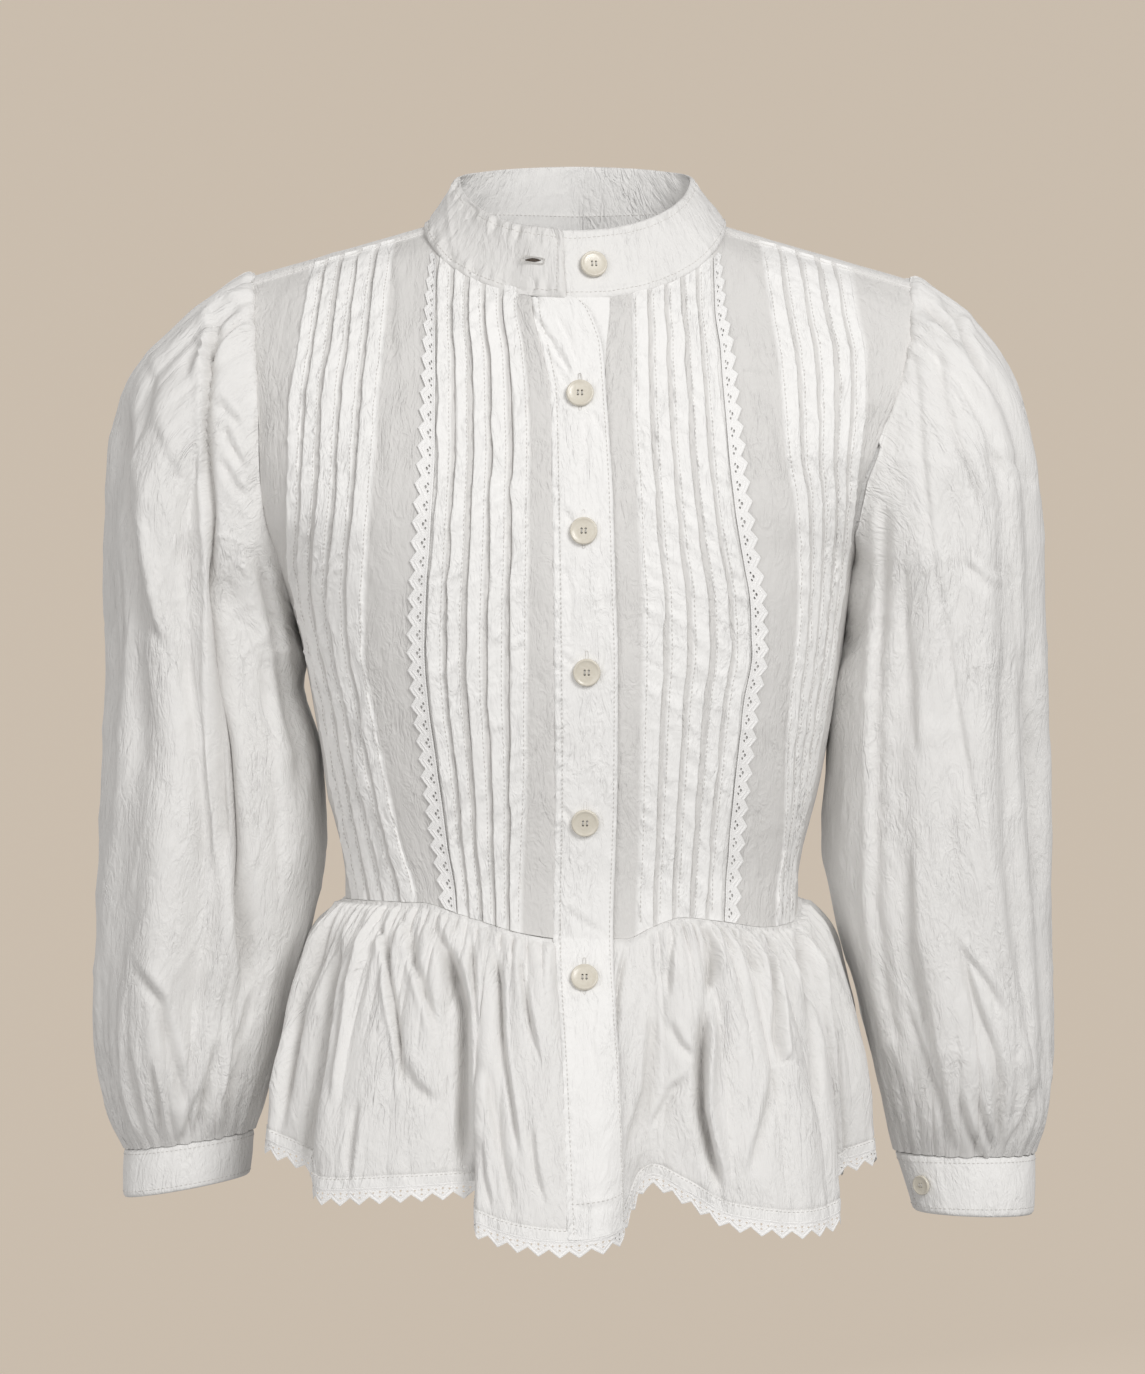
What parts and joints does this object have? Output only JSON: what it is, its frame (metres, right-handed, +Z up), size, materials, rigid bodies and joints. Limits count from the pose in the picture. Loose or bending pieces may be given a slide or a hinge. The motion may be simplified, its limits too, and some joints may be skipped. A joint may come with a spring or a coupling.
{
  "type": "victorian blouse",
  "caption": "Worn, hollow cotton blouse with a stand collar, tucked and lace-trimmed fronts, a buttoned placket, full gathered sleeves with cuffs, and a gathered peplum.",
  "frame": {"origin": "mount wearer: between the shoulders, level with the sides of the collar's seam", "axes": "+Z up, +Y towards the back, so the front faces -Y and the wearer's left side is at +X"},
  "size_m": [0.5624, 0.2979, 0.6211],
  "materials": {
    "white_cotton": "matte washed cotton, off-white",
    "cotton_lace": "matte cotton lace, white",
    "shell_button": "satin cream shell"
  },
  "bodies": {
    "root": {"front_right": "white_cotton", "front_left": "white_cotton", "back": "white_cotton", "placket_over": "white_cotton", "placket_under": "white_cotton", "collar": "white_cotton", "peplum_right": "white_cotton", "peplum_left": "white_cotton", "peplum_back": "white_cotton", "sleeve_right": "white_cotton", "sleeve_left": "white_cotton", "cuff_right": "white_cotton", "cuff_left": "white_cotton", "lace_front_right": "cotton_lace", "lace_front_left": "cotton_lace", "lace_hem_right": "cotton_lace", "lace_hem_left": "cotton_lace", "lace_hem_back": "cotton_lace", "lace_hem_placket": "cotton_lace", "button_collar": "shell_button", "button_1": "shell_button", "button_2": "shell_button", "button_3": "shell_button", "button_4": "shell_button", "button_5": "shell_button", "button_cuff_right": "shell_button", "button_cuff_left": "shell_button"}
  },
  "joints": []
}
